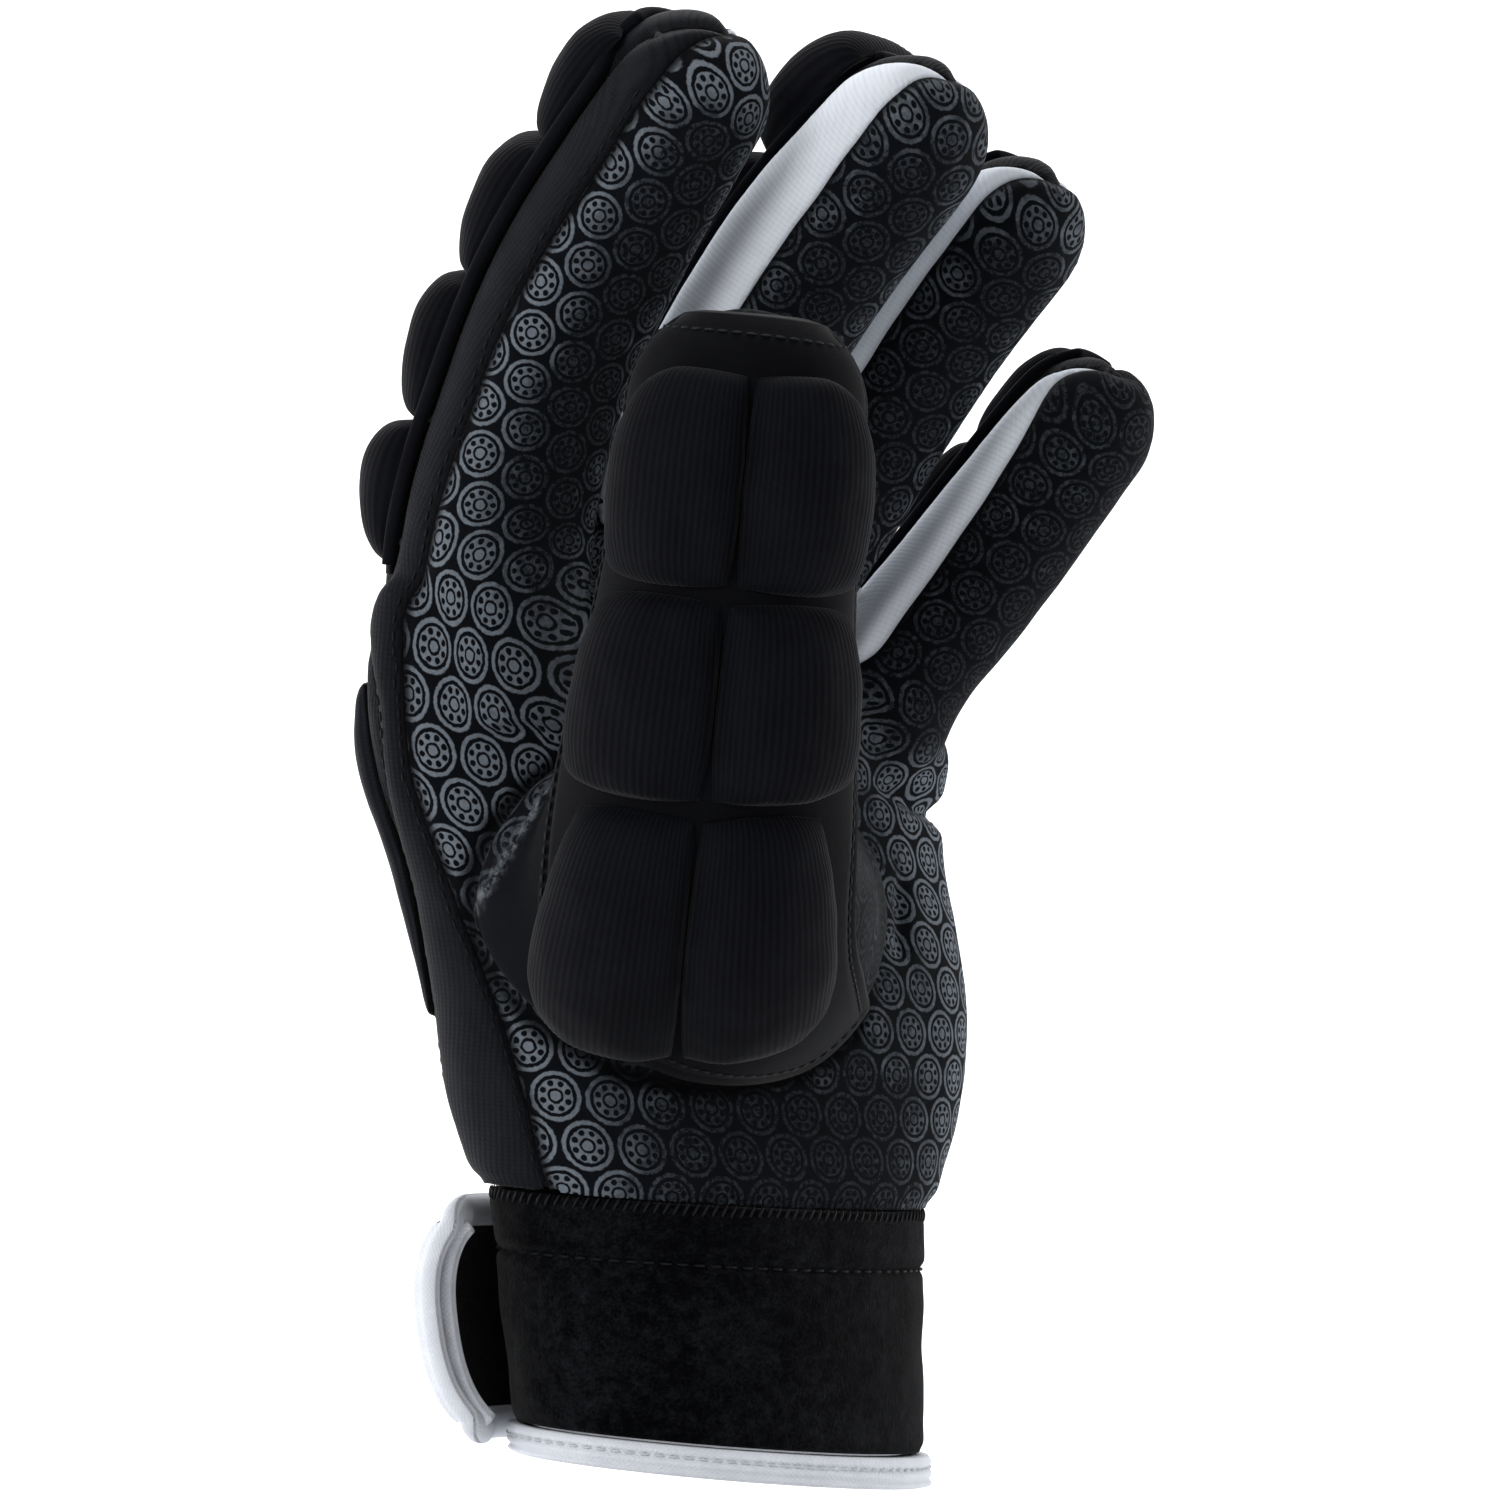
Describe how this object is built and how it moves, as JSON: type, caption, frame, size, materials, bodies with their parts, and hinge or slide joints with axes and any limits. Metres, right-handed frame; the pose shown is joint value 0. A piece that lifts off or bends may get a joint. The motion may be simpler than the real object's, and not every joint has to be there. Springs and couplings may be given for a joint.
{
  "type": "indoor hockey glove",
  "caption": "Padded left glove for indoor hockey, filled as when worn: printed suede palm, ribbed foam pads on thumb and finger backs, brushed cuff with a closing flap.",
  "frame": {"origin": "middle of the wrist opening, at the hem", "axes": "+Z from the wrist to the fingertips, -Y where the raised thumb's pads face, +X towards the little finger"},
  "size_m": [0.1373, 0.1236, 0.2518],
  "materials": {
    "printed_suede": "near-black microsuede with a grey grip print",
    "black_knit": "smooth black knit",
    "white_ribbed": "cool white knit with fine cross ribs",
    "ribbed_foam": "black ribbed fabric over foam",
    "brushed_loop": "black brushed loop pile",
    "white_binding": "white woven binding tape"
  },
  "bodies": {
    "root": {"palm_panel": "printed_suede", "index_side_panel": "black_knit", "fourchette_index_middle": "white_ribbed", "fourchette_middle_ring": "white_ribbed", "fourchette_ring_little": "white_ribbed", "back_panel": "black_knit", "thumb_stall": "printed_suede", "thumb_armour_base": "ribbed_foam", "thumb_pad_bottom_right": "ribbed_foam", "thumb_pad_bottom_left": "ribbed_foam", "thumb_pad_middle_right": "ribbed_foam", "thumb_pad_middle_left": "ribbed_foam", "thumb_pad_top_right": "ribbed_foam", "thumb_pad_top_left": "ribbed_foam", "index_armour_base": "ribbed_foam", "index_pad_1": "ribbed_foam", "index_pad_2": "ribbed_foam", "index_pad_3": "ribbed_foam", "index_pad_4": "ribbed_foam", "middle_armour_base": "ribbed_foam", "middle_pad_1": "ribbed_foam", "middle_pad_2": "ribbed_foam", "middle_pad_3": "ribbed_foam", "middle_pad_4": "ribbed_foam", "ring_armour_base": "ribbed_foam", "ring_pad_1": "ribbed_foam", "ring_pad_2": "ribbed_foam", "ring_pad_3": "ribbed_foam", "ring_pad_4": "ribbed_foam", "little_armour_base": "ribbed_foam", "little_pad_1": "ribbed_foam", "little_pad_2": "ribbed_foam", "little_pad_3": "ribbed_foam", "hand_back_pad": "black_knit", "cuff_band": "brushed_loop", "hem_binding": "white_binding", "closure_flap": "brushed_loop", "closure_flap_binding": "white_binding"}
  },
  "joints": []
}
